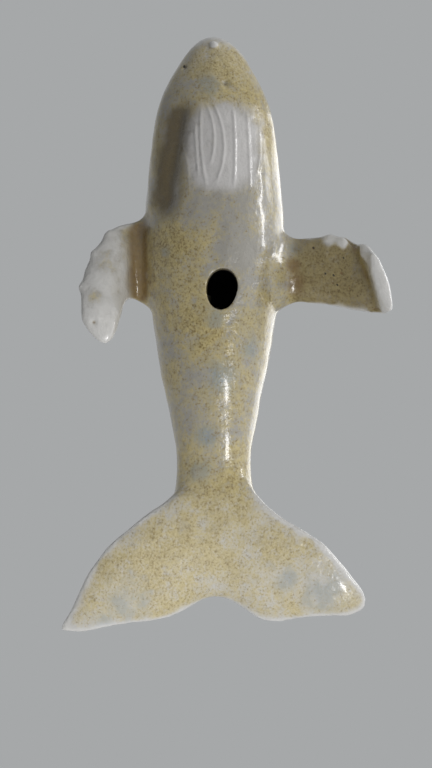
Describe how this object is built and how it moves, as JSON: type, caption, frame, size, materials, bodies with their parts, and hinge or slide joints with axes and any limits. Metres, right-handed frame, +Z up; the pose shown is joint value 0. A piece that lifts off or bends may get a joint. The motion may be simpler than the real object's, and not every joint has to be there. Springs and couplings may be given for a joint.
{
  "type": "whale figurine",
  "caption": "Hollow hand-built ceramic humpback whale lying on its belly, with drooping fins, broad flukes, throat pleats and a vent hole in the belly.",
  "frame": {"origin": "centre of the figurine's bounding box at the level of the surface it lies on", "axes": "+X along the body towards the head, +Y towards the whale's left, +Z up through its back"},
  "size_m": [0.1382, 0.0756, 0.0311],
  "materials": {
    "glazed_body": "gloss",
    "glazed_applied_clay": "gloss"
  },
  "bodies": {
    "root": {"head_pot": "glazed_body", "tail_pot": "glazed_body", "body_seam_coil": "glazed_applied_clay", "tail_flukes": "glazed_applied_clay", "tail_seam_coil": "glazed_applied_clay", "left_fin": "glazed_applied_clay", "right_fin": "glazed_applied_clay", "left_fin_coil": "glazed_applied_clay", "right_fin_coil": "glazed_applied_clay", "left_fin_knobs": "glazed_applied_clay", "right_fin_knobs": "glazed_applied_clay", "head_knobs": "glazed_applied_clay", "dorsal_fin": "glazed_applied_clay", "dorsal_coil": "glazed_applied_clay", "blowhole_ridge": "glazed_applied_clay"}
  },
  "joints": []
}
